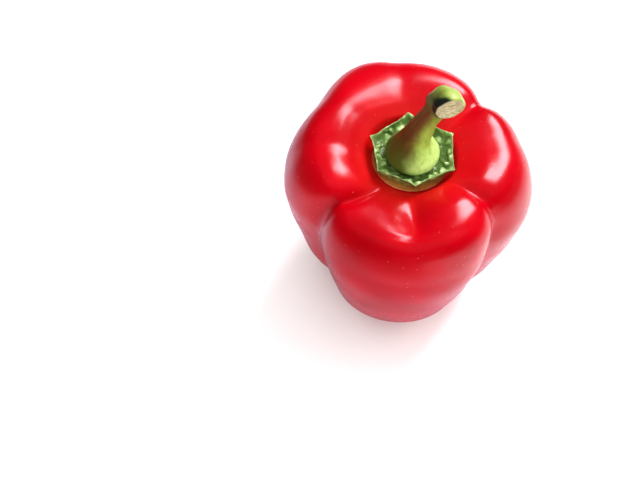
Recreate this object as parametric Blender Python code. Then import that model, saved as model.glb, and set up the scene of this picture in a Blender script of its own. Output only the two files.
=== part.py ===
"""A red bell pepper standing on its blossom end: fruit, green calyx cap and bent stem.

Metres, +Z up.  The fruit rests on Z = 0 and the middle of the whole object lies on the Z axis.
"""
import math

import bmesh
import bpy
from mathutils import Vector

# Driving dimensions
BODY_RADIUS = 0.0430        # mean radius at the widest height
BODY_HEIGHT = 0.0810        # resting plane to the crest of the shoulders
SEAT_RADIUS = 0.0134        # flat spot on the crown that carries the calyx
SEAT_HEIGHT = 0.0755
CALYX_RISE = 0.0052         # rim above the underside of the calyx
STEM_FOOT_RADIUS = 0.0066   # flat underside of the stem
STEM_KNOB_RADIUS = 0.0050   # widest place of the bent end
STEM_CUT_RADIUS = 0.0048
FIT_GAP = 0.0003            # clearance between pieces that touch
CENTRE_SHIFT = Vector((-0.0002, -0.0004, 0.0))   # puts the middle of the bounding box on the Z axis

# Mesh fineness
FRUIT_COLUMNS = 72
FRUIT_ROWS = 36
CALYX_COLUMNS = 60
STEM_COLUMNS = 20
STEM_ROWS = 22
BEND_ROWS = 6
CURVE_STEPS = 24
MM = 0.001
SMOOTH_ANGLE = 50.0

# Meridian of the fruit from the shoulder's inner slope to the blossom end, after the seat:
# (part of BODY_RADIUS, part of BODY_HEIGHT)
MERIDIAN = (
    (0.43, 0.958), (0.60, 0.990), (0.76, 0.988), (0.905, 0.912), (1.00, 0.755), (0.985, 0.574),
    (0.910, 0.369), (0.820, 0.174), (0.660, 0.028), (0.48, -0.015), (0.30, 0.012), (0.13, 0.041),
)

# Grooves between the lobes.  Angles are degrees counter-clockwise from +X and depths are
# millimetres, both spread evenly from the crown to the foot; spread (width of the hollow) and
# edge (rounding of its flanks) are degrees at the crown and at the waist.
GROOVES = (
    {"angle": (41, 41, 42, 43, 44), "spread": (5, 14), "edge": (5, 4),
     "depth": (1.0, 2.8, 5.8, 5.4, 5.0, 5.0, 5.0)},
    {"angle": (143, 143, 141, 140, 139), "spread": (5, 15), "edge": (6, 5),
     "depth": (0.3, 0.2, 1.2, 2.6, 4.0, 4.3, 4.5)},
    {"angle": (233, 216, 211, 209, 211, 215, 219), "spread": (3, 15), "edge": (3, 6),
     "depth": (0.6, 4.8, 7.2, 8.0, 7.4, 6.5, 5.5)},
    {"angle": (315, 320, 316, 314.5, 314, 314, 314), "spread": (4, 14), "edge": (3, 4),
     "depth": (1.0, 3.2, 8.0, 8.4, 6.5, 5.5, 5.0)},
)

# Shallow furrows inside a lobe, with the stretch of the meridian (0 crown, 1 foot) they cover
FURROWS = (
    {"angle": 270, "spread": (7, 8), "edge": (5, 6), "depth": 2.8, "start": -0.10, "end": 0.21},
    {"angle": 12, "spread": (9, 9), "edge": (6, 6), "depth": 1.2, "start": 0.02, "end": 0.55},
    {"angle": 95, "spread": (7, 12), "edge": (5, 8), "depth": 1.4, "start": 0.02, "end": 0.60},
    {"angle": 176, "spread": (8, 9), "edge": (5, 7), "depth": 1.2, "start": 0.00, "end": 0.45},
)

# Swellings between two angles in degrees.  Reach pushes the skin outward, in millimetres spread
# evenly from the crown to the foot; rise lifts the crown, in millimetres from the calyx out over
# the crest, and ends below the shoulder.
LOBES = (
    {"start": 41, "end": 143, "reach": (4.2, 2.4, 0.7), "rise": (1.2, 0.8, 0.8, 1.0, 0.8, 0.3, 0.0)},
    {"start": 82, "end": 148, "reach": (3.8, 2.4, 0.9), "rise": (0.0, 0.0)},
    {"start": 66, "end": 196, "reach": (0.0, 0.0), "rise": (2.2, 2.4, 1.7, 1.2, 0.7, 0.2, 0.0)},
    {"start": 98, "end": 238, "reach": (0.0, 0.0), "rise": (0.4, 1.2, 2.4, 3.0, 2.6, 1.2, 0.3)},
    {"start": 143, "end": 213, "reach": (2.4, 1.5, 0.6), "rise": (0.0, 0.0)},
    {"start": 178, "end": 230, "reach": (0.0, 0.0), "rise": (0.2, 0.8, 1.4, 1.4, 0.8, 0.2, 0.0)},
    {"start": 213, "end": 322, "reach": (0.0, 0.5, 2.0, 2.0, 0.0, -2.4, -3.2),
     "rise": (0.0, 0.4, 0.2, 0.6, 2.2, 3.8, 3.0)},
    {"start": 262, "end": 322, "reach": (0.0, 0.0), "rise": (1.0, 2.4, 2.6, 2.2, 2.2, 2.6, 1.8)},
    {"start": 282, "end": 366, "reach": (0.0, 0.0, 0.8, 1.0, 0.3, 0.0, 0.0),
     "rise": (1.8, 2.8, 2.6, 1.6, 0.4, -0.6, -0.4)},
    {"start": 322, "end": 401, "reach": (1.2, 1.5, 1.9), "rise": (2.0, 1.0, 0.3, 0.0, 0.0)},
)
RISE_END = 0.28             # the rise ends at this part of the meridian
SEAT_END = 0.016            # and starts within this part, beside the flat seat
CROWN_FADE = 0.10           # grooves and lobes fade out toward the seat over this part
FOOT_FADE = 0.15            # and toward the blossom end over this part
WAIST_START = 0.14          # groove widths change from crown to waist between these two parts
WAIST_END = 0.42

# Calyx teeth, counter-clockwise: angle in degrees and reach from the calyx's middle
TEETH = ((24, 0.0148), (93, 0.0145), (159, 0.0141), (214, 0.0140), (272, 0.0132), (330, 0.0151))

RIM_BOW = 0.012             # how far the rim swells out between two teeth, as part of its reach

# Calyx section from the floor over the rim to the underside: how far each ring follows the
# toothed outline (0 round, 1 fully toothed), the round radius, the inset from the toothed
# outline, and the height as part of CALYX_RISE
CALYX_SECTION = (
    (0.0, 0.0086, 0.0000, 0.23), (0.1, 0.0104, 0.0030, 0.34), (0.6, 0.0118, 0.0014, 0.64),
    (1.0, 0.0134, 0.0006, 0.95), (1.0, 0.0134, 0.0002, 1.00), (1.0, 0.0134, 0.0000, 0.93),
    (0.8, 0.0130, 0.0004, 0.62), (0.3, 0.0129, 0.0002, 0.30), (0.0, 0.0131, 0.0000, 0.00),
)

# Stem centre line from its foot to the start of the bend, and radii spread evenly along it
STEM_PATH = (
    (-0.0001, -0.0008, 0.0773), (0.0000, -0.0008, 0.0810), (0.0003, -0.0002, 0.0873),
    (0.0028, 0.0013, 0.0947), (0.0057, 0.0023, 0.1001),
)
STEM_RADII = (STEM_FOOT_RADIUS, 0.0090, 0.0075, 0.0054, 0.0044, 0.0038, 0.0034, 0.0033)
CUT_DIRECTION = Vector((0.22, -0.96, 0.0)).normalized()   # the cut end faces this way
BEND_INNER_RADIUS = 0.0006


def smooth_step(value):
    value = min(1.0, max(0.0, value))
    return value * value * (3.0 - 2.0 * value)


def catmull_rom(points, samples):
    """Even samples along a smooth curve through the points; the ends are kept."""
    padded = [2 * points[0] - points[1]] + list(points) + [2 * points[-1] - points[-2]]
    dense = []
    for index in range(1, len(padded) - 2):
        before, start, end, after = padded[index - 1:index + 3]
        for step in range(CURVE_STEPS):
            t = step / CURVE_STEPS
            dense.append(0.5 * (2 * start + (end - before) * t
                                + (2 * before - 5 * start + 4 * end - after) * t ** 2
                                + (3 * start - before - 3 * end + after) * t ** 3))
    dense.append(points[-1])
    lengths = [0.0]
    for start, end in zip(dense, dense[1:]):
        lengths.append(lengths[-1] + (end - start).length)
    result = []
    segment = 0
    for sample in range(samples):
        target = lengths[-1] * sample / (samples - 1)
        while segment < len(dense) - 2 and lengths[segment + 1] < target:
            segment += 1
        span = lengths[segment + 1] - lengths[segment]
        part = (target - lengths[segment]) / span
        result.append(dense[segment].lerp(dense[segment + 1], min(1.0, max(0.0, part))))
    return result


def angle_between(first, second):
    """Signed difference of two angles in degrees, -180 to 180."""
    return (first - second + 180.0) % 360.0 - 180.0


def hollow(angle, middle, spread, edge):
    """1 in the middle of a groove, falling to 0 on both sides with rounded flanks."""
    away = angle_between(angle, middle)
    return math.exp(-(math.sqrt(away * away + edge * edge) - edge) / spread)


def blend_stations(values, t):
    """Smooth value at t from evenly spaced stations."""
    position = min(0.9999, max(0.0, t)) * (len(values) - 1)
    index = int(position)
    part = position - index
    start, end = values[index], values[index + 1]
    before = values[index - 1] if index > 0 else start
    after = values[index + 2] if index + 2 < len(values) else end
    return 0.5 * (2.0 * start + (end - before) * part
                  + (2.0 * before - 5.0 * start + 4.0 * end - after) * part ** 2
                  + (3.0 * start - before - 3.0 * end + after) * part ** 3)


def hollow_at(hollow_shape, middle, angle, t):
    """Share of a groove's depth at an angle, with the width it has at t."""
    waist = smooth_step((t - WAIST_START) / (WAIST_END - WAIST_START))
    crown_spread, waist_spread = hollow_shape["spread"]
    crown_edge, waist_edge = hollow_shape["edge"]
    spread = crown_spread + (waist_spread - crown_spread) * waist
    edge = crown_edge + (waist_edge - crown_edge) * waist
    return hollow(angle, middle, spread, edge)


def groove_depth(angle, t):
    """How far the grooves and furrows draw the skin in at an angle and a place on the meridian."""
    depth = 0.0
    for groove in GROOVES:
        middle = blend_stations(groove["angle"], t)
        depth += blend_stations(groove["depth"], t) * hollow_at(groove, middle, angle, t)
    for furrow in FURROWS:
        inside = (t - furrow["start"]) / (furrow["end"] - furrow["start"])
        if 0.0 < inside < 1.0:
            fade = math.sin(math.pi * inside)
            depth += furrow["depth"] * fade * hollow_at(furrow, furrow["angle"], angle, t)
    return depth * MM


def lobe_push(angle, t):
    """How far the lobes push the skin outward, and how far they lift it."""
    outward = 0.0
    upward = 0.0
    for lobe in LOBES:
        across = ((angle - lobe["start"]) % 360.0) / (lobe["end"] - lobe["start"])
        if across < 1.0:
            hump = math.sin(math.pi * across) ** 2
            outward += hump * blend_stations(lobe["reach"], t)
            upward += hump * blend_stations((*lobe["rise"], 0.0), t / RISE_END)
    beside_seat = min(1.0, t / SEAT_END)
    return outward * MM, upward * beside_seat * MM


def skin_point(meridian, row, angle):
    """Point of the skin at a row of the meridian and an angle in degrees."""
    last = len(meridian) - 1
    t = row / last
    along = (meridian[min(last, row + 1)] - meridian[max(0, row - 1)]).normalized()
    normal = Vector((-along.y, along.x))
    fade = smooth_step(t / CROWN_FADE) * smooth_step((1.0 - t) / FOOT_FADE)
    depth = groove_depth(angle, t) * fade
    outward, upward = lobe_push(angle, t)
    reach = meridian[row].x + normal.x * (outward * fade - depth)
    height = meridian[row].y + upward - normal.y * depth
    turn = math.radians(angle)
    return Vector((reach * math.cos(turn), reach * math.sin(turn), max(0.0, height)))


def fruit_mesh():
    """Closed skin of the fruit: rings of points joined by quads, with a flat calyx seat."""
    stations = [Vector((SEAT_RADIUS, SEAT_HEIGHT))]
    stations += [Vector((part * BODY_RADIUS, height * BODY_HEIGHT)) for part, height in MERIDIAN]
    meridian = catmull_rom(stations, FRUIT_ROWS)
    rings = []
    for row in range(FRUIT_ROWS):
        angles = [360.0 * column / FRUIT_COLUMNS for column in range(FRUIT_COLUMNS)]
        rings.append([skin_point(meridian, row, angle) for angle in angles])
    foot_middle = Vector((0.0, 0.0, sum(point.z for point in rings[-1]) / FRUIT_COLUMNS))
    return closed_rings(rings, Vector((0.0, 0.0, SEAT_HEIGHT)), foot_middle)


def closed_rings(rings, first_middle, last_middle):
    """Mesh data from rings of equal length, closed by a fan at both ends."""
    columns = len(rings[0])
    points = [point for ring in rings for point in ring] + [first_middle, last_middle]
    faces = []
    for row in range(len(rings) - 1):
        for column in range(columns):
            beside = (column + 1) % columns
            faces.append((row * columns + column, (row + 1) * columns + column,
                          (row + 1) * columns + beside, row * columns + beside))
    last = (len(rings) - 1) * columns
    for column in range(columns):
        beside = (column + 1) % columns
        faces.append((len(points) - 2, column, beside))
        faces.append((len(points) - 1, last + beside, last + column))
    return points, faces


def tooth_reach(angle):
    """Distance from the axis to the rim: slightly bowed chords between the tips of the teeth."""
    for index, (start, start_reach) in enumerate(TEETH):
        end, end_reach = TEETH[(index + 1) % len(TEETH)]
        span = (end - start) % 360.0
        inside = (angle - start) % 360.0
        if inside < span:
            chord = (start_reach * end_reach * math.sin(math.radians(span))
                     / (start_reach * math.sin(math.radians(inside))
                        + end_reach * math.sin(math.radians(span - inside))))
            return chord * (1.0 + RIM_BOW * math.sin(math.pi * inside / span))
    return TEETH[0][1]


def calyx_mesh():
    """Shallow toothed cup: flat floor, upturned rim, skirt drawn in to a flat underside."""
    bottom = SEAT_HEIGHT + FIT_GAP
    rings = []
    for toothed, round_radius, inset, height in CALYX_SECTION:
        ring = []
        for column in range(CALYX_COLUMNS):
            angle = 360.0 * column / CALYX_COLUMNS
            reach = round_radius + (tooth_reach(angle) - inset - round_radius) * toothed
            turn = math.radians(angle)
            ring.append(Vector((reach * math.cos(turn), reach * math.sin(turn),
                                bottom + height * CALYX_RISE)))
        rings.append(ring)
    floor = Vector((0.0, 0.0, bottom + CALYX_SECTION[0][3] * CALYX_RISE))
    return closed_rings(rings, floor, Vector((0.0, 0.0, bottom)))


def stem_ring(centre, direction, radius):
    """Circle of points square to a direction, starting on its +X side."""
    side = Vector((1.0, 0.0, 0.0))
    side = (side - direction * side.dot(direction)).normalized()
    other = direction.cross(side)
    ring = []
    for column in range(STEM_COLUMNS):
        turn = 2.0 * math.pi * column / STEM_COLUMNS
        ring.append(centre + (side * math.cos(turn) + other * math.sin(turn)) * radius)
    return ring


def knob_radius(share):
    """The bent end swells to the knob by half way, then closes a little toward the cut."""
    if share < 0.5:
        return STEM_RADII[-1] + (STEM_KNOB_RADIUS - STEM_RADII[-1]) * math.sqrt(2.0 * share)
    return STEM_KNOB_RADIUS + (STEM_CUT_RADIUS - STEM_KNOB_RADIUS) * (2.0 * share - 1.0) ** 2


def stem_mesh():
    """Bulb and shaft along the centre line, then a flared bend that pivots to the cut face."""
    path = catmull_rom([Vector(point) for point in STEM_PATH], STEM_ROWS)
    rings = []
    for row, centre in enumerate(path):
        direction = Vector((0.0, 0.0, 1.0))
        if row > 0:
            direction = (path[min(row + 1, STEM_ROWS - 1)] - path[row - 1]).normalized()
        radius = blend_stations(STEM_RADII, row / (STEM_ROWS - 1))
        rings.append(stem_ring(centre, direction, radius))
    axis = direction.cross(CUT_DIRECTION).normalized()
    outward = axis.cross(direction)
    pivot = path[-1] + outward * (STEM_RADII[-1] + BEND_INNER_RADIUS)
    for row in range(1, BEND_ROWS + 1):
        share = row / BEND_ROWS
        turn = share * direction.angle(CUT_DIRECTION)
        radius = knob_radius(share)
        arm = direction * math.sin(turn) - outward * math.cos(turn)
        heading = direction * math.cos(turn) + outward * math.sin(turn)
        rings.append(stem_ring(pivot + arm * (radius + BEND_INNER_RADIUS), heading, radius))
    cut_middle = sum(rings[-1], Vector()) / STEM_COLUMNS
    rings.reverse()
    return closed_rings(rings, cut_middle, path[0])


def finish_material(name, colour, roughness):
    material = bpy.data.materials.new(name)
    material.use_nodes = True
    shader = material.node_tree.nodes["Principled BSDF"]
    shader.inputs["Base Color"].default_value = (*colour, 1.0)
    shader.inputs["Roughness"].default_value = roughness
    shader.inputs["Metallic"].default_value = 0.0
    return material


def add_piece(name, mesh_data, material):
    points, faces = mesh_data
    mesh = bpy.data.meshes.new(name)
    mesh.from_pydata([point + CENTRE_SHIFT for point in points], [], faces)
    shape = bmesh.new()
    shape.from_mesh(mesh)
    bmesh.ops.recalc_face_normals(shape, faces=shape.faces)
    shape.to_mesh(mesh)
    shape.free()
    mesh.shade_smooth()
    mesh.set_sharp_from_angle(angle=math.radians(SMOOTH_ANGLE))
    mesh.materials.append(material)
    piece = bpy.data.objects.new(name, mesh)
    bpy.context.scene.collection.objects.link(piece)
    return piece


def main():
    for old in list(bpy.data.objects):
        bpy.data.objects.remove(old)
    skin = finish_material("waxy_red_skin", (0.60, 0.010, 0.012), 0.22)
    cap = finish_material("green_calyx_flesh", (0.12, 0.26, 0.05), 0.45)
    stalk = finish_material("pale_green_stalk", (0.30, 0.45, 0.08), 0.50)
    add_piece("fruit", fruit_mesh(), skin)
    add_piece("calyx", calyx_mesh(), cap)
    add_piece("stem", stem_mesh(), stalk)


main()
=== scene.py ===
import math

import bpy
from mathutils import Matrix, Vector, noise


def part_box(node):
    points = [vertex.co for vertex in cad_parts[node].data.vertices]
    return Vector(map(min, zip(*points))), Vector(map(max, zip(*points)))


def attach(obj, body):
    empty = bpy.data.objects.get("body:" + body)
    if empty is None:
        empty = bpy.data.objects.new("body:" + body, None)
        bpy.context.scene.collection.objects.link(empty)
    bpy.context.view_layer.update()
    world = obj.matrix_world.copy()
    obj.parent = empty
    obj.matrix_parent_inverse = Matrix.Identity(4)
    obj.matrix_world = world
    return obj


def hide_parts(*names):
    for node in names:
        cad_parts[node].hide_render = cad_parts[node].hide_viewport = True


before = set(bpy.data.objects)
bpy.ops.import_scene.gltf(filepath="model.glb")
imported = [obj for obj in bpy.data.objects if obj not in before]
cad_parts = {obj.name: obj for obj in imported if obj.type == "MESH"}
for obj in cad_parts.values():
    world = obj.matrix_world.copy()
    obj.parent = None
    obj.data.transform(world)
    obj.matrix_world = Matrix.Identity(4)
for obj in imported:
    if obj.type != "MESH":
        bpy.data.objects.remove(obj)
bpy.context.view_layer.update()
print("frame loaded:", ", ".join(sorted(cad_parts)))

mm = 0.001
coreShift = Vector((-0.2 * mm, -0.4 * mm, 0.0))    # the fruit's core stands this far off the Z axis
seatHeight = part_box("calyx")[0][2]                 # underside of the calyx
seatGap = 0.3 * mm                                 # clear space between the calyx and its seat
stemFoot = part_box("stem")[0][2]                    # underside of the stem


def hexToLinear(code):
    channels = [int(code[i:i + 2], 16) / 255 for i in (1, 3, 5)]
    linear = [c / 12.92 if c <= 0.04045 else ((c + 0.055) / 1.055) ** 2.4 for c in channels]
    return (*linear, 1.0)


# one node with its settings (socket name, socket number or property) and its incoming links
def addNode(tree, kind, settings=None, links=None):
    node = tree.nodes.new(kind)
    for name, value in (settings or {}).items():
        if isinstance(name, int) or name in node.inputs:
            node.inputs[name].default_value = value
        else:
            setattr(node, name, value)
    for name, source in (links or {}).items():
        socket = source if isinstance(source, bpy.types.NodeSocket) else source.outputs[0]
        tree.links.new(socket, node.inputs[name])
    return node


def setStops(ramp, stops):
    elements = ramp.color_ramp.elements
    elements[0].position, elements[0].color = stops[0][0], hexToLinear(stops[0][1])
    elements[1].position, elements[1].color = stops[-1][0], hexToLinear(stops[-1][1])
    for place, code in stops[1:-1]:
        elements.new(place).color = hexToLinear(code)


def newMaterial(name):
    material = bpy.data.materials.new(name)
    material.use_nodes = True
    material.node_tree.nodes.clear()
    return material, material.node_tree


def smoothStep(value):
    value = min(1.0, max(0.0, value))
    return value * value * (3.0 - 2.0 * value)


# even samples along a smooth curve through the points
def curveThrough(points, samples):
    finePoints = 24                                # measured between one point and the next
    padded = [2 * points[0] - points[1]] + list(points) + [2 * points[-1] - points[-2]]
    dense = []
    for index in range(1, len(padded) - 2):
        before, start, end, after = padded[index - 1:index + 3]
        for step in range(finePoints):
            t = step / finePoints
            dense.append(0.5 * (2 * start + (end - before) * t
                                + (2 * before - 5 * start + 4 * end - after) * t ** 2
                                + (3 * start - before - 3 * end + after) * t ** 3))
    dense.append(points[-1])
    lengths = [0.0]
    for start, end in zip(dense, dense[1:]):
        lengths.append(lengths[-1] + (end - start).length)
    result = []
    segment = 0
    for sample in range(samples):
        target = lengths[-1] * sample / (samples - 1)
        while segment < len(dense) - 2 and lengths[segment + 1] < target:
            segment += 1
        span = lengths[segment + 1] - lengths[segment]
        part = min(1.0, max(0.0, (target - lengths[segment]) / span))
        result.append(dense[segment].lerp(dense[segment + 1], part))
    return result


# smooth value at t from stations spread evenly over 0 to 1
def stationValue(values, t):
    position = min(0.9999, max(0.0, t)) * (len(values) - 1)
    index = int(position)
    part = position - index
    start, end = values[index], values[index + 1]
    before = values[max(0, index - 1)]
    after = values[min(len(values) - 1, index + 2)]
    return 0.5 * (2 * start + (end - before) * part
                  + (2 * before - 5 * start + 4 * end - after) * part ** 2
                  + (3 * start - before - 3 * end + after) * part ** 3)


# closed mesh from rings of points, first ring on top, with its numbers kept as attributes
def ringMesh(name, rings, firstMiddle, lastMiddle, numbers=None):
    columns = len(rings[0])
    points = [point for ring in rings for point in ring] + [firstMiddle, lastMiddle]
    faces = []
    for row in range(len(rings) - 1):
        for column in range(columns):
            beside = (column + 1) % columns
            faces.append((row * columns + column, (row + 1) * columns + column,
                          (row + 1) * columns + beside, row * columns + beside))
    last = (len(rings) - 1) * columns
    for column in range(columns):
        beside = (column + 1) % columns
        faces.append((len(points) - 2, column, beside))
        faces.append((len(points) - 1, last + beside, last + column))
    mesh = bpy.data.meshes.new(name)
    mesh.from_pydata(points, [], faces)
    for title, values in (numbers or {}).items():
        width = "FLOAT_VECTOR" if isinstance(values[0], Vector) else "FLOAT"
        layer = mesh.attributes.new(title, width, "POINT")
        for item, value in zip(layer.data, values):
            if width == "FLOAT":
                item.value = value
            else:
                item.vector = value
    piece = bpy.data.objects.new(name, mesh)
    bpy.context.scene.collection.objects.link(piece)
    return piece


# puts a node tree on a piece, sets its inputs by identifier, and keeps the result as plain mesh
def growWith(piece, tree, inputs, shift):
    modifier = piece.modifiers.new(tree.name, "NODES")
    modifier.node_group = tree
    for item in tree.interface.items_tree:
        if item.name in inputs:
            modifier[item.identifier] = inputs[item.name]
    graph = bpy.context.evaluated_depsgraph_get()
    grown = bpy.data.meshes.new_from_object(piece.evaluated_get(graph),
                                            preserve_all_data_layers=True, depsgraph=graph)
    piece.modifiers.clear()
    grown.transform(Matrix.Translation(shift))
    grown.name = piece.name
    piece.data = grown
    return piece


def newTree(name, inputs):
    tree = bpy.data.node_groups.new(name, "GeometryNodeTree")
    tree.interface.new_socket("Geometry", in_out="INPUT", socket_type="NodeSocketGeometry")
    for title, kind in inputs:
        tree.interface.new_socket(title, in_out="INPUT", socket_type=kind)
    tree.interface.new_socket("Geometry", in_out="OUTPUT", socket_type="NodeSocketGeometry")
    return tree, tree.nodes.new("NodeGroupInput")


def endTree(tree, geometry, material):
    smooth = addNode(tree, "GeometryNodeSetShadeSmooth", links={"Geometry": geometry})
    real = addNode(tree, "GeometryNodeRealizeInstances", links={"Geometry": smooth})
    painted = addNode(tree, "GeometryNodeSetMaterial", {"Material": material}, {"Geometry": real})
    addNode(tree, "NodeGroupOutput", links={"Geometry": painted})


# the fruit is a turned body; Geometry Nodes grow its lobes, grooves and furrows
fruit = {
    "radius": 43.0 * mm, "height": 81.0 * mm, "seatRadius": 13.4 * mm,
    "columns": 336, "rows": 168,
    # from the shoulder's inner slope to the blossom end, as parts of radius and height
    "meridian": ((0.43, 0.958), (0.60, 0.990), (0.76, 0.988), (0.905, 0.912), (1.00, 0.755),
                 (0.985, 0.574), (0.910, 0.369), (0.820, 0.174), (0.660, 0.028), (0.48, -0.015),
                 (0.30, 0.012), (0.13, 0.041), (0.05, 0.048)),
    # angle in degrees and depth in mm at even steps from crown to foot;
    # spread and edge in degrees at the crown and from the waist down
    "grooves": (
        {"angle": (41, 41, 42, 43, 44), "spread": (5, 14), "edge": (5, 4),
         "depth": (1.0, 2.8, 5.8, 5.4, 5.0, 5.0, 5.0)},
        {"angle": (143, 143, 141, 140, 139), "spread": (5, 15), "edge": (6, 5),
         "depth": (0.3, 0.2, 1.2, 2.6, 4.0, 4.3, 4.5)},
        {"angle": (233, 216, 211, 209, 211, 215, 219), "spread": (3, 15), "edge": (3, 6),
         "depth": (0.6, 4.8, 7.2, 8.0, 7.4, 6.5, 5.5)},
        {"angle": (315, 320, 316, 314.5, 314, 314, 314), "spread": (4, 14), "edge": (3, 4),
         "depth": (1.0, 3.2, 8.0, 8.4, 6.5, 5.5, 5.0)},
    ),
    # soft furrows inside the lobes, from start to end of the meridian (0 crown, 1 blossom end)
    "furrows": (
        {"angle": (270, 270), "spread": (7, 8), "edge": (5, 6), "depth": 2.8,
         "start": -0.10, "end": 0.21},
        {"angle": (12, 12), "spread": (9, 9), "edge": (6, 6), "depth": 1.2,
         "start": 0.02, "end": 0.55},
        {"angle": (95, 95), "spread": (7, 12), "edge": (5, 8), "depth": 1.4,
         "start": 0.02, "end": 0.60},
        {"angle": (176, 176), "spread": (8, 9), "edge": (5, 7), "depth": 1.2,
         "start": 0.00, "end": 0.45},
    ),
    # from one angle in degrees to another: reach in mm from crown to foot,
    # rise in mm from the calyx out over the crest
    "lobes": (
        {"start": 41, "end": 143, "reach": (4.2, 2.4, 0.7), "rise": (1.2, 0.8, 0.8, 1.0, 0.8, 0.3, 0.0)},
        {"start": 82, "end": 148, "reach": (3.8, 2.4, 0.9), "rise": (0.0, 0.0)},
        {"start": 66, "end": 196, "reach": (0.0, 0.0), "rise": (2.2, 2.4, 1.7, 1.2, 0.7, 0.2, 0.0)},
        {"start": 98, "end": 238, "reach": (0.0, 0.0), "rise": (0.4, 1.2, 2.4, 3.0, 2.6, 1.2, 0.3)},
        {"start": 143, "end": 213, "reach": (2.4, 1.5, 0.6), "rise": (0.0, 0.0)},
        {"start": 178, "end": 230, "reach": (0.0, 0.0), "rise": (0.2, 0.8, 1.4, 1.4, 0.8, 0.2, 0.0)},
        {"start": 213, "end": 322, "reach": (0.0, 0.5, 2.0, 2.0, 0.0, -2.4, -3.2),
         "rise": (0.0, 0.4, 0.2, 0.6, 2.2, 3.8, 3.0)},
        {"start": 262, "end": 322, "reach": (0.0, 0.0), "rise": (1.0, 2.4, 2.6, 2.2, 2.2, 2.6, 1.8)},
        {"start": 282, "end": 366, "reach": (0.0, 0.0, 0.8, 1.0, 0.3, 0.0, 0.0),
         "rise": (1.8, 2.8, 2.6, 1.6, 0.4, -0.6, -0.4)},
        {"start": 322, "end": 401, "reach": (1.2, 1.5, 1.9), "rise": (2.0, 1.0, 0.3, 0.0, 0.0)},
    ),
    # places along the meridian
    "crownEnd": 0.14, "waistStart": 0.42, "riseEnd": 0.28, "seatEnd": 0.016,
    "crownFade": 0.10, "footFade": 0.15,
    "ripple": 0.30 * mm, "rippleSize": 13 * mm, "seed": 4.0,
    # flesh from dark to light, the paler flush round the calyx, and the pores
    "reds": ((0.30, "#9A0010"), (0.50, "#A80014"), (0.72, "#B00416")),
    "flush": "#C42A12", "flushStart": 30 * mm, "flushFull": 13 * mm,
    "pore": "#F0B080", "poreSpacing": 2.2 * mm,
}


def turnedBody(settings):
    seat = Vector((settings["seatRadius"], seatHeight - seatGap))
    stations = [seat] + [Vector((settings["radius"] * r, settings["height"] * h))
                         for r, h in settings["meridian"]]
    line = curveThrough(stations, settings["rows"])
    last = len(line) - 1
    rings = []
    along = []
    slant = []
    for row, place in enumerate(line):
        heading = (line[min(last, row + 1)] - line[max(0, row - 1)]).normalized()
        for column in range(settings["columns"]):
            along.append(row / last)
            slant.append(Vector((-heading.y, 0.0, heading.x)))
        turns = [2 * math.pi * column / settings["columns"] for column in range(settings["columns"])]
        rings.append([Vector((place.x * math.cos(a), place.x * math.sin(a), place.y)) for a in turns])
    along += [0.0, 1.0]
    slant += [Vector((0, 0, 1)), Vector((0, 0, -1))]
    return ringMesh("pepper_fruit", rings, Vector((0, 0, seat.y)), Vector((0, 0, line[-1].y)),
                    {"along": along, "slant": slant})


# station values along the meridian as a smooth Float Curve, scaled back to metres
def stationCurve(tree, along, values, spanEnd=1.0, unit=mm):
    tallest = max(abs(value) for value in values) or 1.0
    ramp = addNode(tree, "ShaderNodeMapRange", {"From Max": spanEnd}, {"Value": along})
    curve = addNode(tree, "ShaderNodeFloatCurve", links={"Value": ramp})
    line = curve.mapping.curves[0]
    line.points[0].location = (0.0, values[0] / tallest)
    line.points[1].location = (1.0, values[-1] / tallest)
    for index in range(1, len(values) - 1):
        line.points.new(index / (len(values) - 1), values[index] / tallest)
    curve.mapping.clip_min_y = -1.0
    curve.mapping.update()
    return addNode(tree, "ShaderNodeMath", {"operation": "MULTIPLY", 1: tallest * unit}, {0: curve})


# value in degrees that changes from crown to waist, in radians
def degreesAlong(tree, along, pair, settings):
    return addNode(tree, "ShaderNodeMapRange",
                   {"interpolation_type": "SMOOTHSTEP", "From Min": settings["crownEnd"],
                    "From Max": settings["waistStart"],
                    "To Min": math.radians(pair[0]), "To Max": math.radians(pair[1])}, {"Value": along})


# 1 along the middle of a hollow, falling away on both sides
def hollowField(tree, angle, along, hollow, settings):
    middle = stationCurve(tree, along, hollow["angle"], unit=math.radians(1))
    spread = degreesAlong(tree, along, hollow["spread"], settings)
    edge = degreesAlong(tree, along, hollow["edge"], settings)
    gap = addNode(tree, "ShaderNodeMath", {"operation": "SUBTRACT"}, {0: angle, 1: middle})
    away = addNode(tree, "ShaderNodeMath", {"operation": "WRAP", 1: math.pi, 2: -math.pi}, {0: gap})
    rounding = addNode(tree, "ShaderNodeMath", {"operation": "MULTIPLY"}, {0: edge, 1: edge})
    square = addNode(tree, "ShaderNodeMath", {"operation": "MULTIPLY_ADD"},
                     {0: away, 1: away, 2: rounding})
    root = addNode(tree, "ShaderNodeMath", {"operation": "SQRT"}, {0: square})
    inside = addNode(tree, "ShaderNodeMath", {"operation": "SUBTRACT"}, {0: edge, 1: root})
    scaled = addNode(tree, "ShaderNodeMath", {"operation": "DIVIDE"}, {0: inside, 1: spread})
    return addNode(tree, "ShaderNodeMath", {"operation": "EXPONENT"}, {0: scaled})


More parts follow.
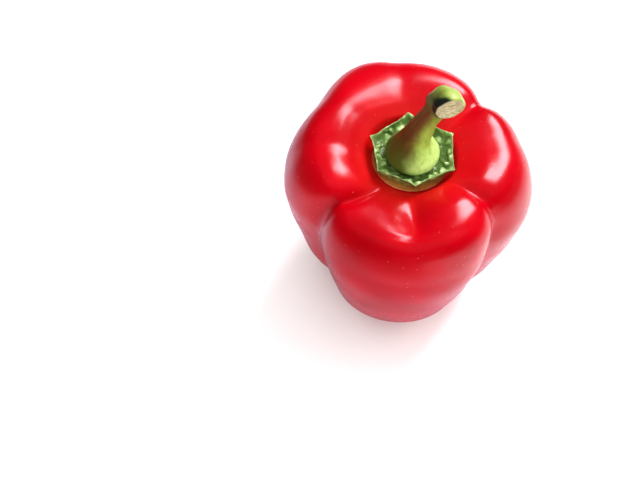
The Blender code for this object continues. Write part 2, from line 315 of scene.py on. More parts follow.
def lobedSkinTree(settings, material):
    tree, group = newTree("lobed skin", (("Groove depth", "NodeSocketFloat"),
                                         ("Lobe reach", "NodeSocketFloat"),
                                         ("Ripple height", "NodeSocketFloat"),
                                         ("Ripple size", "NodeSocketFloat"),
                                         ("Seed", "NodeSocketFloat")))
    place = addNode(tree, "GeometryNodeInputPosition")
    axes = addNode(tree, "ShaderNodeSeparateXYZ", links={0: place})
    angle = addNode(tree, "ShaderNodeMath", {"operation": "ARCTAN2"},
                    {0: axes.outputs[1], 1: axes.outputs[0]})
    flat = addNode(tree, "ShaderNodeCombineXYZ", links={0: axes.outputs[0], 1: axes.outputs[1]})
    radius = addNode(tree, "ShaderNodeVectorMath", {"operation": "LENGTH"}, {0: flat}).outputs["Value"]
    along = addNode(tree, "GeometryNodeInputNamedAttribute", {"data_type": "FLOAT", "Name": "along"})
    slant = addNode(tree, "GeometryNodeInputNamedAttribute",
                    {"data_type": "FLOAT_VECTOR", "Name": "slant"})
    slope = addNode(tree, "ShaderNodeSeparateXYZ", links={0: slant})

    zero = addNode(tree, "ShaderNodeValue")
    depth = outward = upward = zero
    for groove in settings["grooves"]:
        hollow = hollowField(tree, angle, along, groove, settings)
        amount = stationCurve(tree, along, groove["depth"])
        depth = addNode(tree, "ShaderNodeMath", {"operation": "MULTIPLY_ADD"},
                        {0: hollow, 1: amount, 2: depth})
    for furrow in settings["furrows"]:
        hollow = hollowField(tree, angle, along, furrow, settings)
        inside = addNode(tree, "ShaderNodeMapRange",
                         {"From Min": furrow["start"], "From Max": furrow["end"], "To Max": math.pi},
                         {"Value": along})
        fade = addNode(tree, "ShaderNodeMath", {"operation": "SINE"}, {0: inside})
        amount = addNode(tree, "ShaderNodeMath", {"operation": "MULTIPLY", 1: furrow["depth"] * mm},
                         {0: fade})
        depth = addNode(tree, "ShaderNodeMath", {"operation": "MULTIPLY_ADD"},
                        {0: hollow, 1: amount, 2: depth})
    depth = addNode(tree, "ShaderNodeMath", {"operation": "MULTIPLY"},
                    {0: depth, 1: group.outputs["Groove depth"]})

    for lobe in settings["lobes"]:
        turned = addNode(tree, "ShaderNodeMath",
                         {"operation": "SUBTRACT", 1: math.radians(lobe["start"])}, {0: angle})
        wrapped = addNode(tree, "ShaderNodeMath", {"operation": "FLOORED_MODULO", 1: 2 * math.pi},
                          {0: turned})
        across = addNode(tree, "ShaderNodeMapRange",
                         {"From Max": math.radians(lobe["end"] - lobe["start"]), "To Max": math.pi},
                         {"Value": wrapped})
        wave = addNode(tree, "ShaderNodeMath", {"operation": "SINE"}, {0: across})
        hump = addNode(tree, "ShaderNodeMath", {"operation": "MULTIPLY"}, {0: wave, 1: wave})
        reach = stationCurve(tree, along, lobe["reach"])
        rise = stationCurve(tree, along, (*lobe["rise"], 0.0), settings["riseEnd"])
        outward = addNode(tree, "ShaderNodeMath", {"operation": "MULTIPLY_ADD"},
                          {0: hump, 1: reach, 2: outward})
        upward = addNode(tree, "ShaderNodeMath", {"operation": "MULTIPLY_ADD"},
                         {0: hump, 1: rise, 2: upward})
    outward = addNode(tree, "ShaderNodeMath", {"operation": "MULTIPLY"},
                      {0: outward, 1: group.outputs["Lobe reach"]})

    crown = addNode(tree, "ShaderNodeMapRange", {"interpolation_type": "SMOOTHSTEP",
                                                 "From Max": settings["crownFade"]}, {"Value": along})
    foot = addNode(tree, "ShaderNodeMapRange", {"interpolation_type": "SMOOTHSTEP", "From Min": 1.0,
                                                "From Max": 1.0 - settings["footFade"]}, {"Value": along})
    fade = addNode(tree, "ShaderNodeMath", {"operation": "MULTIPLY"}, {0: crown, 1: foot})
    scale = addNode(tree, "ShaderNodeMath", {"operation": "DIVIDE", 0: 1.0},
                    {1: group.outputs["Ripple size"]})
    wobble = addNode(tree, "ShaderNodeTexNoise",
                     {"noise_dimensions": "4D", "Detail": 2.0, "Roughness": 0.4},
                     {"Vector": place, "W": group.outputs["Seed"], "Scale": scale})
    centred = addNode(tree, "ShaderNodeMath", {"operation": "SUBTRACT", 1: 0.5}, {0: wobble})
    ripple = addNode(tree, "ShaderNodeMath", {"operation": "MULTIPLY"},
                     {0: centred, 1: group.outputs["Ripple height"]})
    drawn = addNode(tree, "ShaderNodeMath", {"operation": "SUBTRACT"}, {0: ripple, 1: depth})
    pushed = addNode(tree, "ShaderNodeMath", {"operation": "ADD"}, {0: drawn, 1: outward})
    sideways = addNode(tree, "ShaderNodeMath", {"operation": "MULTIPLY"}, {0: pushed, 1: fade})
    upright = addNode(tree, "ShaderNodeMath", {"operation": "MULTIPLY"}, {0: drawn, 1: fade})
    newRadius = addNode(tree, "ShaderNodeMath", {"operation": "MULTIPLY_ADD"},
                        {0: slope.outputs[0], 1: sideways, 2: radius})
    stretch = addNode(tree, "ShaderNodeMath", {"operation": "DIVIDE"}, {0: newRadius, 1: radius})
    lifted = addNode(tree, "ShaderNodeMath", {"operation": "MULTIPLY_ADD"},
                     {0: slope.outputs[2], 1: upright, 2: axes.outputs[2]})
    seated = addNode(tree, "ShaderNodeMapRange", {"From Max": settings["seatEnd"]}, {"Value": along})
    raised = addNode(tree, "ShaderNodeMath", {"operation": "MULTIPLY_ADD"},
                     {0: upward, 1: seated, 2: lifted})
    resting = addNode(tree, "ShaderNodeMath", {"operation": "MAXIMUM", 1: 0.0}, {0: raised})
    spread = addNode(tree, "ShaderNodeVectorMath", {"operation": "SCALE"}, {0: flat, "Scale": stretch})
    spreadAxes = addNode(tree, "ShaderNodeSeparateXYZ", links={0: spread})
    target = addNode(tree, "ShaderNodeCombineXYZ",
                     links={0: spreadAxes.outputs[0], 1: spreadAxes.outputs[1], 2: resting})
    moved = addNode(tree, "GeometryNodeSetPosition", links={"Geometry": group, "Position": target})
    endTree(tree, moved, material)
    return tree


# red flesh under its own waxy cuticle: saturated colour, a little light let through, soft-edged highlights
def waxyRedSkin(settings):
    material, tree = newMaterial("waxy red pepper skin")
    place = addNode(tree, "ShaderNodeTexCoord").outputs["Object"]
    broad = addNode(tree, "ShaderNodeTexNoise", {"Scale": 1 / (22 * mm), "Detail": 3.0, "Roughness": 0.5},
                    {"Vector": place})
    base = addNode(tree, "ShaderNodeValToRGB", links={"Fac": broad})
    setStops(base, settings["reds"])
    # patchy orange flush round the calyx
    crownPoint = (coreShift.x, coreShift.y, seatHeight)
    away = addNode(tree, "ShaderNodeVectorMath", {"operation": "DISTANCE", 1: crownPoint}, {0: place})
    nearCrown = addNode(tree, "ShaderNodeMapRange",
                        {"interpolation_type": "SMOOTHSTEP", "From Min": settings["flushStart"],
                         "From Max": settings["flushFull"], "To Max": 0.55},
                        {"Value": away.outputs["Value"]})
    patchy = addNode(tree, "ShaderNodeMath", {"operation": "MULTIPLY"}, {0: nearCrown, 1: broad})
    crown = addNode(tree, "ShaderNodeMix", {"data_type": "RGBA", 7: hexToLinear(settings["flush"])},
                    {0: patchy, 6: base}).outputs[2]
    # pores and lint specks, about a third of a millimetre wide and a few millimetres apart
    cells = addNode(tree, "ShaderNodeTexVoronoi",
                    {"Scale": 1 / settings["poreSpacing"], "Randomness": 1.0}, {"Vector": place})
    dot = addNode(tree, "ShaderNodeMapRange", {"From Min": 0.075, "From Max": 0.045},
                  {"Value": cells.outputs["Distance"]})
    tone = addNode(tree, "ShaderNodeSeparateColor", links={"Color": cells.outputs["Color"]})
    chosen = addNode(tree, "ShaderNodeMapRange", {"From Min": 0.45, "From Max": 0.70, "To Max": 0.6},
                     {"Value": tone})
    speck = addNode(tree, "ShaderNodeMath", {"operation": "MULTIPLY"}, {0: dot, 1: chosen})
    flecked = addNode(tree, "ShaderNodeMix", {"data_type": "RGBA", 7: hexToLinear(settings["pore"])},
                      {0: speck, 6: crown}).outputs[2]
    # the wax varies in gloss from grain to grain, over a faint swell
    grain = addNode(tree, "ShaderNodeTexNoise", {"Scale": 1 / (0.9 * mm), "Detail": 2.0}, {"Vector": place})
    swell = addNode(tree, "ShaderNodeTexNoise", {"Scale": 1 / (6 * mm), "Detail": 2.0}, {"Vector": place})
    gloss = addNode(tree, "ShaderNodeMapRange",
                    {"From Min": 0.3, "From Max": 0.7, "To Min": 0.20, "To Max": 0.27}, {"Value": grain})
    relief = addNode(tree, "ShaderNodeBump", {"Strength": 0.15, "Distance": 0.2 * mm}, {"Height": swell})
    shader = addNode(tree, "ShaderNodeBsdfPrincipled",
                     {"IOR": 1.39, "Subsurface Weight": 0.12, "Subsurface Scale": 3 * mm,
                      "Subsurface Radius": (1.0, 0.12, 0.08)},
                     {"Base Color": flecked, "Roughness": gloss, "Normal": relief})
    addNode(tree, "ShaderNodeOutputMaterial", links={"Surface": shader})
    return material


skinMaterial = waxyRedSkin(fruit)
fruitPiece = turnedBody(fruit)
growWith(fruitPiece, lobedSkinTree(fruit, skinMaterial),
         {"Groove depth": 1.0, "Lobe reach": 1.0, "Ripple height": fruit["ripple"],
          "Ripple size": fruit["rippleSize"], "Seed": fruit["seed"]}, coreShift)
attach(fruitPiece, "root")
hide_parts("fruit")
print("fruit:", len(fruitPiece.data.polygons), "faces")


# the calyx is a toothed, upturned cup; Geometry Nodes pucker its flesh
calyx = {
    "rise": 5.2 * mm, "columns": 320, "rows": 84,
    # each tooth's angle in degrees and reach in mm; the tip width is in degrees too
    "teeth": ((24, 14.8), (93, 14.5), (159, 14.1), (214, 14.0), (272, 13.2), (330, 15.1)),
    "rimBow": 0.012, "tipLength": 0.7 * mm, "tipWidth": 4.0,
    "rimWave": 0.35 * mm, "rimWaves": 4.5, "lift": 0.3 * mm, "liftWaves": 3,
    # share of the toothed outline, round radius, inset from the teeth, height, pucker share
    "section": ((0.0, 8.2, 0.0, 0.48, 0.5), (0.1, 10.2, 3.0, 0.62, 1.0), (0.6, 11.8, 1.4, 0.80, 0.9),
                (1.0, 13.4, 0.6, 0.95, 0.4), (1.0, 13.4, 0.2, 1.00, 0.2), (1.0, 13.4, 0.0, 0.93, 0.1),
                (0.8, 13.0, 0.4, 0.62, 0.2), (0.3, 12.9, 0.2, 0.30, 0.2), (0.0, 13.1, 0.0, 0.00, 0.0)),
    # share of the section where the skirt's colours begin, and how soon they are full
    "outsideStart": 0.62, "outsideFade": 0.06,
    "pucker": 1.9 * mm, "puckerSize": 2.6 * mm, "seed": 2.0,
    "warp": 2.5 * mm, "warpSize": 4 * mm, "crinkle": 0.35, "crinkleSize": 1.2 * mm, "sunk": 0.45,
    # flesh from the creases to the knobs (painted shade in the creases, painted highlight on the knobs),
    # the rim, and the outside from its foot up
    "greens": ((0.25, "#587038"), (0.55, "#8AA462"), (1.0, "#B8CC94")), "rim": "#A8BE88",
    # the outside's brown band is painted shade with a painted red reflection of the skin
    "skirt": ((0.0, "#C8A468"), (0.16, "#A8743C"), (0.45, "#706430"), (0.9, "#6C8448")),
}


# distance from the middle to the toothed outline at an angle in degrees
def toothReach(settings, angle):
    teeth = settings["teeth"]
    around = math.radians(angle)
    circle = Vector((math.cos(around), math.sin(around), 0.3))
    wave = noise.noise(circle * settings["rimWaves"]) * settings["rimWave"]
    for index, (start, startReach) in enumerate(teeth):
        end, endReach = teeth[(index + 1) % len(teeth)]
        span = (end - start) % 360
        inside = (angle - start) % 360
        if inside < span:
            chord = (startReach * endReach * math.sin(math.radians(span))
                     / (startReach * math.sin(math.radians(inside))
                        + endReach * math.sin(math.radians(span - inside))))
            bow = 1 + settings["rimBow"] * math.sin(math.pi * inside / span)
            tip = math.exp(-min(inside, span - inside) / settings["tipWidth"]) * settings["tipLength"]
            return chord * bow * mm + tip + wave


def calyxCup(settings):
    columns = settings["columns"]
    rows = settings["rows"]
    angles = [360 * column / columns for column in range(columns)]
    profiles = []
    for angle in angles:
        reach = toothReach(settings, angle)
        around = math.radians(angle)
        circle = Vector((math.cos(around), math.sin(around), 2.0))
        lift = noise.noise(circle * settings["liftWaves"]) * settings["lift"]
        stations = []
        for share, radius, inset, height, pucker in settings["section"]:
            place = radius * mm + (reach - inset * mm - radius * mm) * share
            raised = settings["rise"] * height + lift * height * share
            stations.append(Vector((place, seatHeight + raised, pucker * mm)))
        profiles.append(curveThrough(stations, rows))
    rings = []
    puckers = []
    heights = []
    outsides = []
    for row in range(rows):
        ring = []
        for angle, profile in zip(angles, profiles):
            turn = math.radians(angle)
            place = profile[row]
            ring.append(Vector((place.x * math.cos(turn), place.x * math.sin(turn), place.y)))
            puckers.append(min(1.0, max(0.0, place.z / mm)))
            heights.append((place.y - seatHeight) / settings["rise"])
            past = row / (rows - 1) - settings["outsideStart"]
            outsides.append(smoothStep(past / settings["outsideFade"]))
        rings.append(ring)
    floor = seatHeight + settings["section"][0][3] * settings["rise"]
    return ringMesh("pepper_calyx", rings, Vector((0, 0, floor)), Vector((0, 0, seatHeight)),
                    {"pucker": puckers + [0.0, 0.0], "height": heights + [0.0, 0.0],
                     "outside": outsides + [0.0, 1.0]})


def puckerTree(settings, material):
    tree, group = newTree("puckered calyx", (("Pucker height", "NodeSocketFloat"),
                                             ("Pucker size", "NodeSocketFloat"),
                                             ("Seed", "NodeSocketFloat")))
    place = addNode(tree, "GeometryNodeInputPosition")
    scale = addNode(tree, "ShaderNodeMath", {"operation": "DIVIDE", 0: 1.0},
                    {1: group.outputs["Pucker size"]})
    warp = addNode(tree, "ShaderNodeTexNoise", {"Scale": 1 / settings["warpSize"], "Detail": 1.0},
                   {"Vector": place})
    warped = addNode(tree, "ShaderNodeVectorMath",
                     {"operation": "MULTIPLY_ADD", 1: (settings["warp"],) * 3},
                     {0: warp.outputs["Color"], 2: place})
    # each knob is a dome on its own cell, crinkled, with the creases sunk below the flesh
    cells = addNode(tree, "ShaderNodeTexVoronoi",
                    {"voronoi_dimensions": "4D", "feature": "SMOOTH_F1", "Smoothness": 0.3},
                    {"Vector": warped, "W": group.outputs["Seed"], "Scale": scale})
    dome = addNode(tree, "ShaderNodeMapRange",
                   {"interpolation_type": "SMOOTHSTEP", "From Min": 0.70, "From Max": 0.05},
                   {"Value": cells})
    crinkle = addNode(tree, "ShaderNodeTexNoise", {"Scale": 1 / settings["crinkleSize"], "Detail": 2.0},
                      {"Vector": warped})
    lumpy = addNode(tree, "ShaderNodeMath", {"operation": "MULTIPLY_ADD", 1: settings["crinkle"]},
                    {0: crinkle, 2: dome})
    low = addNode(tree, "ShaderNodeMath", {"operation": "SUBTRACT", 1: settings["sunk"]}, {0: lumpy})
    mask = addNode(tree, "GeometryNodeInputNamedAttribute", {"data_type": "FLOAT", "Name": "pucker"})
    height = addNode(tree, "ShaderNodeMath", {"operation": "MULTIPLY"},
                     {0: low, 1: group.outputs["Pucker height"]})
    masked = addNode(tree, "ShaderNodeMath", {"operation": "MULTIPLY"}, {0: height, 1: mask})
    facing = addNode(tree, "GeometryNodeInputNormal")
    offset = addNode(tree, "ShaderNodeVectorMath", {"operation": "SCALE"}, {0: facing, "Scale": masked})
    moved = addNode(tree, "GeometryNodeSetPosition", links={"Geometry": group, "Offset": offset})
    # the knob height is kept for the painted shade in the creases and painted highlight on the knob tops
    kept = addNode(tree, "GeometryNodeStoreNamedAttribute", {"data_type": "FLOAT", "domain": "POINT",
                                                             "Name": "knob"},
                   {"Geometry": moved, "Value": lumpy})
    endTree(tree, kept, material)
    return tree


# fleshy green tissue: satin, a little light passes through; painted shade darkens the creases and a painted
# highlight lightens the knob tops, and it is paler at the rim;
# tan at the foot of the outside, then a brown band of painted shade and painted red reflection, and olive
# above it
def calyxFlesh(settings):
    material, tree = newMaterial("fleshy green calyx tissue")
    place = addNode(tree, "ShaderNodeTexCoord").outputs["Object"]
    knob = addNode(tree, "ShaderNodeAttribute", {"attribute_name": "knob"}).outputs["Fac"]
    height = addNode(tree, "ShaderNodeAttribute", {"attribute_name": "height"}).outputs["Fac"]
    outside = addNode(tree, "ShaderNodeAttribute", {"attribute_name": "outside"}).outputs["Fac"]
    # painted shade in the creases and painted highlight on the knob tops, by knob height
    green = addNode(tree, "ShaderNodeValToRGB", links={"Fac": knob})
    setStops(green, settings["greens"])
    rimmed = addNode(tree, "ShaderNodeMapRange", {"From Min": 0.84, "From Max": 1.0, "To Max": 0.5},
                     {"Value": height})
    pale = addNode(tree, "ShaderNodeMix", {"data_type": "RGBA", 7: hexToLinear(settings["rim"])},
                   {0: rimmed, 6: green}).outputs[2]
    mottle = addNode(tree, "ShaderNodeTexNoise", {"Scale": 1 / (1.1 * mm), "Detail": 3.0},
                     {"Vector": place})
    # the outside's colours by height: tan foot, then a brown band of painted shade and painted red
    # reflection, then olive
    skirt = addNode(tree, "ShaderNodeValToRGB", links={"Fac": height})
    setStops(skirt, settings["skirt"])
    both = addNode(tree, "ShaderNodeMix", {"data_type": "RGBA"},
                   {0: outside, 6: pale, 7: skirt}).outputs[2]
    shade = addNode(tree, "ShaderNodeMapRange",
                    {"From Min": 0.3, "From Max": 0.7, "To Min": 0.82, "To Max": 1.12}, {"Value": mottle})
    toned = addNode(tree, "ShaderNodeVectorMath", {"operation": "SCALE"}, {0: both, "Scale": shade})
    bump = addNode(tree, "ShaderNodeBump", {"Strength": 0.6, "Distance": 0.2 * mm}, {"Height": mottle})
    shader = addNode(tree, "ShaderNodeBsdfPrincipled",
                     {"IOR": 1.42, "Roughness": 0.30, "Subsurface Weight": 0.15,
                      "Subsurface Scale": 2 * mm, "Subsurface Radius": (0.5, 1.0, 0.2)},
                     {"Base Color": toned, "Normal": bump})
    addNode(tree, "ShaderNodeOutputMaterial", links={"Surface": shader})
    return material


calyxPiece = calyxCup(calyx)
growWith(calyxPiece, puckerTree(calyx, calyxFlesh(calyx)),
         {"Pucker height": calyx["pucker"], "Pucker size": calyx["puckerSize"], "Seed": calyx["seed"]},
         coreShift)
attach(calyxPiece, "root")
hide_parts("calyx")
print("calyx:", len(calyxPiece.data.polygons), "faces")


# the stem is a bulb, a ridged shaft and a flared end that bends over to the cut
stem = {
    # centre line above the stem's foot, in mm, and radii spread evenly along it
    "path": ((-0.1, -0.8, 0.0), (0.0, -0.8, 3.7), (0.3, -0.2, 10.0), (2.8, 1.3, 17.4), (5.7, 2.3, 22.8)),
    "radii": (6.6, 9.0, 7.5, 5.4, 4.4, 3.8, 3.4, 3.3),
    # the end swells, bends over about its inner side and closes a little towards the cut
    "knobRadius": 5.0, "cutRadius": 4.8, "knobShare": 0.5, "cutFaces": (0.22, -0.96, 0.0), "bendInner": 0.6,
    "columns": 144, "rows": 130, "bendRows": 64, "cutRows": 24,
    # share of the stem's length up to the bend; the colours are placed along the whole length
    "shaftShare": 0.7,
    # ridges and lumps, in mm, grow from the smooth bulb up the shaft and ease towards the cut
    "ridges": 8, "ridgeSway": 1.3, "ridgeDepth": 0.13, "lumpDepth": 0.4, "lumpGrain": 240,
    "roughRate": 1.8, "roughDelay": 0.1, "roughEase": 0.3,
    # lip, fibres and hollow of the cut, in mm, and how fine the fibres are along each axis
    "lip": 0.30, "fibre": 0.22, "fibreGrain": (900, 900, 2600), "dish": 0.55, "cutClose": 0.97,
    # direction of the side that gets painted shade with a painted red reflection of the skin, partly real
    # browning
    "shadeSide": (-0.93, -0.25, 0.1),
    "greens": ((0.0, "#7FA850"), (0.16, "#B4CE7A"), (0.34, "#9AB250"), (0.55, "#8A983C"),
               (0.72, "#7C8C36"), (0.85, "#84963C"), (1.0, "#94A650")),
    # olive-brown tones along the stem for that side: painted shade and painted red reflection, partly real
    # browning
    "browningAndShade": ((0.0, "#4C5C22"), (0.20, "#4C5220"), (0.34, "#5C381A"), (0.66, "#6A4024"),
               (0.86, "#5A5A28"), (1.0, "#4A5028")),
    # the last colour is a near-black patch beside the cut, on the side given painted shade
    "streak": "#5E6E2A", "darkPatch": "#1A1F18",
    "fibres": ((0.32, "#887E5C"), (0.50, "#AAA27E"), (0.68, "#C6C09E")),
}


def stemRing(settings, centre, heading, radius, roughness):
    side = Vector((1, 0, 0))
    side = (side - heading * side.dot(heading)).normalized()
    other = heading.cross(side)
    dark = Vector(settings["shadeSide"]).normalized()
    ring = []
    shades = []
    for column in range(settings["columns"]):
        turn = 2 * math.pi * column / settings["columns"]
        outward = side * math.cos(turn) + other * math.sin(turn)
        sway = settings["ridgeSway"] * math.sin(2 * turn)
        wave = math.sin(settings["ridges"] * turn + sway) * settings["ridgeDepth"]
        lump = noise.noise((centre + outward * radius) * settings["lumpGrain"]) * settings["lumpDepth"]
        ring.append(centre + outward * (radius + (wave + lump) * roughness * mm))
        # how far each point faces the side with painted shade, from 0 to 1
        shades.append(outward.dot(dark) * 0.5 + 0.5)
    return ring, shades


def knobRadiusAt(settings, share):
    neck = settings["radii"][-1]
    top = settings["knobShare"]
    if share < top:
        return (neck + (settings["knobRadius"] - neck) * math.sqrt(share / top)) * mm
    close = (share - top) / (1 - top)
    return (settings["knobRadius"] + (settings["cutRadius"] - settings["knobRadius"]) * close ** 2) * mm


# the rings are made from the foot to the cut and turned round, so that the first one is on top
def stemShape(settings):
    foot = Vector((0, 0, stemFoot))
    shaft = settings["shaftShare"]
    path = curveThrough([foot + Vector(point) * mm for point in settings["path"]], settings["rows"])
    rings = []
    for row, centre in enumerate(path):
        share = row / (settings["rows"] - 1)
        heading = Vector((0, 0, 1))
        if row > 0:
            heading = (path[min(row + 1, len(path) - 1)] - path[row - 1]).normalized()
        radius = stationValue(settings["radii"], share) * mm
        roughness = smoothStep(share * settings["roughRate"] - settings["roughDelay"])
        ring, shades = stemRing(settings, centre, heading, radius, roughness)
        rings.append((ring, shades, share * shaft, 0.0, 0.0))
    cutFaces = Vector(settings["cutFaces"]).normalized()
    hinge = heading.cross(cutFaces).normalized()
    outward = hinge.cross(heading)
    inner = settings["bendInner"] * mm
    pivot = path[-1] + outward * (radius + inner)
    bend = heading.angle(cutFaces)
    for row in range(1, settings["bendRows"] + 1):
        share = row / settings["bendRows"]
        turn = share * bend
        radius = knobRadiusAt(settings, share)
        arm = heading * math.sin(turn) - outward * math.cos(turn)
        facing = heading * math.cos(turn) + outward * math.sin(turn)
        middle = pivot + arm * (radius + inner)
        roughness = 1.0 - share * settings["roughEase"]
        ring, shades = stemRing(settings, middle, facing, radius, roughness)
        rings.append((ring, shades, shaft + (1 - shaft) * share, share, 0.0))
    rim, shades = rings[-1][:2]
    for row in range(1, settings["cutRows"] + 1):
        share = row / settings["cutRows"]
        ring = []
        for point in rim:
            inward = point.lerp(middle, share * settings["cutClose"])
            # the lip is full an eighth of the way in and gone by halfway; the fibres are full at a third
            lip = settings["lip"] * smoothStep(share * 8) * (1 - smoothStep(share * 3 - 0.4))
            fibre = noise.noise(inward * Vector(settings["fibreGrain"])) * settings["fibre"]
            dish = settings["dish"] * smoothStep(share * 1.4)
            ring.append(inward + facing * (lip + fibre * smoothStep(share * 3) - dish) * mm)
        rings.append((ring, shades, 1.0, 1.0, share))
    rings.reverse()
    numbers = {"shade": [], "along": [], "bend": [], "cutShare": []}
    for ring, shades, along, bendShare, cutShare in rings:
        numbers["shade"] += shades
        numbers["along"] += [along] * len(ring)
        numbers["bend"] += [bendShare] * len(ring)
        numbers["cutShare"] += [cutShare] * len(ring)
    ends = {"shade": [0.5, 0.5], "along": [1.0, 0.0], "bend": [1.0, 0.0], "cutShare": [1.0, 0.0]}
    middle = sum(rings[0][0], Vector()) / len(rim)
    return ringMesh("pepper_stem", [ring[0] for ring in rings], middle, path[0],
                    {name: values + ends[name] for name, values in numbers.items()})


# green stalk skin: satin, finely streaked, painted shade and red reflection on one side; dry beige fibres
# on the cut
def stalkSkin(settings):
    material, tree = newMaterial("ribbed green pepper stalk")
    place = addNode(tree, "ShaderNodeTexCoord").outputs["Object"]
    along, shade, bend, cut = (addNode(tree, "ShaderNodeAttribute", {"attribute_name": name}).outputs["Fac"]
                               for name in ("along", "shade", "bend", "cutShare"))
    green = addNode(tree, "ShaderNodeValToRGB", links={"Fac": along})
    setStops(green, settings["greens"])
    stretched = addNode(tree, "ShaderNodeMapping", {"Scale": (1.0, 1.0, 0.12)}, {"Vector": place})
    streak = addNode(tree, "ShaderNodeTexNoise", {"Scale": 1 / (1.1 * mm), "Detail": 3.0},
                     {"Vector": stretched})
    patch = addNode(tree, "ShaderNodeTexNoise", {"Scale": 1 / (4 * mm), "Detail": 2.0}, {"Vector": place})
    olive = addNode(tree, "ShaderNodeMapRange", {"From Min": 0.50, "From Max": 0.72, "To Max": 0.35},
                    {"Value": streak})
    skin = addNode(tree, "ShaderNodeMix", {"data_type": "RGBA", 7: hexToLinear(settings["streak"])},
                   {0: olive, 6: green}).outputs[2]
    # painted shade with a painted red reflection of the skin, partly real browning, grows towards the
    # shaded side, strongest on the shaft
    edge = addNode(tree, "ShaderNodeMath", {"operation": "MULTIPLY_ADD", 1: 0.30}, {0: patch, 2: shade})
    browningAndShadeMask = addNode(tree, "ShaderNodeMapRange",
                       {"interpolation_type": "SMOOTHSTEP", "From Min": 0.62, "From Max": 1.08},
                       {"Value": edge})
    browningAndShadeTone = addNode(tree, "ShaderNodeValToRGB", links={"Fac": along})
    setStops(browningAndShadeTone, settings["browningAndShade"])
    skinWithShade = addNode(tree, "ShaderNodeMix", {"data_type": "RGBA"},
                    {0: browningAndShadeMask, 6: skin, 7: browningAndShadeTone}).outputs[2]
    # near-black patch beside the cut, placed by the side value of the painted shade and by the bend, with a
    # ragged edge
    darkPatchPlace = addNode(tree, "ShaderNodeMath", {"operation": "MULTIPLY_ADD", 1: 0.75}, {0: shade, 2: bend})
    ragged = addNode(tree, "ShaderNodeMath", {"operation": "MULTIPLY_ADD", 1: 0.35}, {0: patch, 2: darkPatchPlace})
    darkPatch = addNode(tree, "ShaderNodeMapRange",
                     {"interpolation_type": "SMOOTHSTEP", "From Min": 1.50, "From Max": 1.64},
                     {"Value": ragged})
    dark = addNode(tree, "ShaderNodeMix", {"data_type": "RGBA", 7: hexToLinear(settings["darkPatch"])},
                   {0: darkPatch, 6: skinWithShade}).outputs[2]
    fibre = addNode(tree, "ShaderNodeMapping", {"Scale": (1.0, 1.0, 3.2)}, {"Vector": place})
    strands = addNode(tree, "ShaderNodeTexNoise", {"Scale": 1 / (1.3 * mm), "Detail": 4.0},
                      {"Vector": fibre})
    wood = addNode(tree, "ShaderNodeValToRGB", links={"Fac": strands})
    setStops(wood, settings["fibres"])
    onCut = addNode(tree, "ShaderNodeMapRange", {"From Min": 0.03, "From Max": 0.14}, {"Value": cut})
    whole = addNode(tree, "ShaderNodeMix", {"data_type": "RGBA"},
                    {0: onCut, 6: dark, 7: wood}).outputs[2]
    bump = addNode(tree, "ShaderNodeBump", {"Strength": 0.5, "Distance": 0.2 * mm}, {"Height": streak})
    shader = addNode(tree, "ShaderNodeBsdfPrincipled",
                     {"IOR": 1.42, "Roughness": 0.42, "Subsurface Weight": 0.1,
                      "Subsurface Scale": 2 * mm, "Subsurface Radius": (0.6, 1.0, 0.2)},
                     {"Base Color": whole, "Normal": bump})
    addNode(tree, "ShaderNodeOutputMaterial", links={"Surface": shader})
    return material


stemPiece = stemShape(stem)
stemPiece.data.transform(Matrix.Translation(coreShift))
stemPiece.data.shade_smooth()
stemPiece.data.materials.append(stalkSkin(stem))
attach(stemPiece, "root")
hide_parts("stem")
print("stem:", len(stemPiece.data.polygons), "faces")


# pale floor, soft light and camera
studio = {
    "floorSize": 1.5, "floorTones": ((0.3, "#F4F3F2"), (0.7, "#F8F8F8")),
    # what the skin mirrors of the floor: close by, further off, and on the side open to the window,
    # with the distances in metres over which one gives way to the next
    "mirroredFloor": "#C6BECA", "farFloor": "#3A3838", "openFloor": "#FFFFFF",
    "farStart": 0.14, "farFull": 0.30, "openStart": 0.02, "openFull": 0.08,
    "openReach": 0.90, "openClose": 0.15,
    "lookAt": (-30.7 * mm, -13.1 * mm, 40 * mm), "elevation": 63.0, "distance": 324.5 * mm,
    "lens": 50.0, "sensor": 36.0,
    # each light faces the crown; degrees round and up from it, distance and size in metres;
    # only a mirrored one shows in reflections
    "lightTarget": (0, 0, 60 * mm),
    "lights": (
        {"name": "window", "azimuth": 54, "elevation": 43, "distance": 1.1, "size": (0.44, 0.50),
         "watts": 13.5, "tint": "#FAF6FF", "mirrored": True},
        {"name": "rightSide", "azimuth": 15, "elevation": 38, "distance": 1.2, "size": (0.9, 0.9),
         "watts": 2.5, "tint": "#FFFFFF", "mirrored": False},
        {"name": "frontFill", "azimuth": 275, "elevation": 12, "distance": 1.1, "size": (0.8, 0.6),
         "watts": 7.5, "tint": "#FFFFFF", "mirrored": False},
        {"name": "ceiling", "azimuth": 0, "elevation": 89, "distance": 1.2, "size": (2.4, 2.4),
         "watts": 31.0, "tint": "#FFFFFF", "mirrored": False},
    ),
    "room": "#FAFAFC", "roomStrength": 0.045,
}


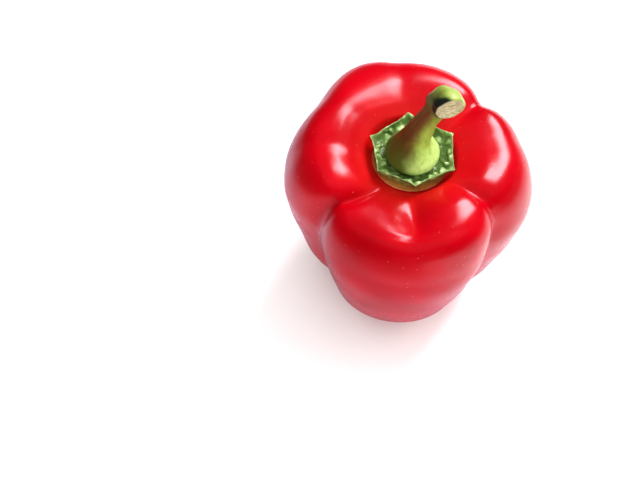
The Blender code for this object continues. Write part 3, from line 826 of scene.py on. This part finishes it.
# matte white laminate: plain and faintly uneven to the eye; a ray that the skin mirrors finds it
# bright on the open side and fading to dark elsewhere
def matteTable(settings):
    material, tree = newMaterial("matte white table")
    grain = addNode(tree, "ShaderNodeTexNoise", {"Scale": 6.0, "Detail": 2.0})
    tone = addNode(tree, "ShaderNodeValToRGB", links={"Fac": grain})
    setStops(tone, settings["floorTones"])
    place = addNode(tree, "ShaderNodeTexCoord").outputs["Object"]
    sides = addNode(tree, "ShaderNodeSeparateXYZ", links={0: place})
    reach = addNode(tree, "ShaderNodeVectorMath", {"operation": "LENGTH"}, {0: place}).outputs["Value"]
    beside = addNode(tree, "ShaderNodeMapRange",
                     {"From Min": settings["openStart"], "From Max": settings["openFull"]},
                     {"Value": sides})
    close = addNode(tree, "ShaderNodeMapRange",
                    {"From Min": settings["openReach"], "From Max": settings["openClose"]},
                    {"Value": reach})
    openSide = addNode(tree, "ShaderNodeMath", {"operation": "MULTIPLY"}, {0: beside, 1: close})
    far = addNode(tree, "ShaderNodeMapRange",
                  {"From Min": settings["farStart"], "From Max": settings["farFull"]}, {"Value": reach})
    faded = addNode(tree, "ShaderNodeMix",
                    {"data_type": "RGBA", 6: hexToLinear(settings["mirroredFloor"]),
                     7: hexToLinear(settings["farFloor"])}, {0: far}).outputs[2]
    mirrored = addNode(tree, "ShaderNodeMix",
                       {"data_type": "RGBA", 7: hexToLinear(settings["openFloor"])},
                       {0: openSide, 6: faded}).outputs[2]
    ray = addNode(tree, "ShaderNodeLightPath")
    seen = addNode(tree, "ShaderNodeMix", {"data_type": "RGBA"},
                   {0: ray.outputs["Is Glossy Ray"], 6: tone, 7: mirrored}).outputs[2]
    shader = addNode(tree, "ShaderNodeBsdfPrincipled", {"Roughness": 0.75, "Specular IOR Level": 0.2},
                     {"Base Color": seen})
    addNode(tree, "ShaderNodeOutputMaterial", links={"Surface": shader})
    return material


def placeFloor(settings):
    half = settings["floorSize"] / 2
    corners = [(-half, -half, 0), (half, -half, 0), (half, half, 0), (-half, half, 0)]
    mesh = bpy.data.meshes.new("studio_floor")
    mesh.from_pydata(corners, [], [(0, 1, 2, 3)])
    floor = bpy.data.objects.new("studio_floor", mesh)
    bpy.context.scene.collection.objects.link(floor)
    mesh.materials.append(matteTable(settings))


def placeLights(settings):
    target = Vector(settings["lightTarget"])
    for lamp in settings["lights"]:
        data = bpy.data.lights.new(lamp["name"], "AREA")
        data.shape = "RECTANGLE"
        data.size, data.size_y = lamp["size"]
        data.energy = lamp["watts"]
        data.color = hexToLinear(lamp["tint"])[:3]
        light = bpy.data.objects.new(lamp["name"], data)
        bpy.context.scene.collection.objects.link(light)
        around, up = math.radians(lamp["azimuth"]), math.radians(lamp["elevation"])
        away = Vector((math.cos(around) * math.cos(up), math.sin(around) * math.cos(up), math.sin(up)))
        light.location = target + away * lamp["distance"]
        light.rotation_euler = away.to_track_quat("Z", "Y").to_euler()
        light.visible_glossy = lamp["mirrored"]


# the camera sees a white room past the floor; the pepper is lit by it only faintly
def placeRoom(settings):
    world = bpy.data.worlds.new("soft room")
    world.use_nodes = True
    sky = world.node_tree.nodes["Background"]
    ray = addNode(world.node_tree, "ShaderNodeLightPath")
    strength = addNode(world.node_tree, "ShaderNodeMapRange", {"To Min": settings["roomStrength"]},
                       {"Value": ray.outputs["Is Camera Ray"]})
    sky.inputs["Color"].default_value = hexToLinear(settings["room"])
    world.node_tree.links.new(strength.outputs[0], sky.inputs["Strength"])
    bpy.context.scene.world = world


def placeCamera(settings):
    scene = bpy.context.scene
    camera = bpy.data.objects.new("camera", bpy.data.cameras.new("camera"))
    scene.collection.objects.link(camera)
    camera.data.lens = settings["lens"]
    camera.data.sensor_width = settings["sensor"]
    camera.data.clip_start = 10 * mm
    tilt = math.radians(settings["elevation"])
    back = Vector((0, -math.cos(tilt), math.sin(tilt)))
    camera.location = Vector(settings["lookAt"]) + back * settings["distance"]
    camera.rotation_euler = back.to_track_quat("Z", "Y").to_euler()
    scene.camera = camera
    scene.view_settings.view_transform = "Standard"
    scene.view_settings.look = "Medium High Contrast"


placeFloor(studio)
placeLights(studio)
placeRoom(studio)
placeCamera(studio)
print("studio placed")
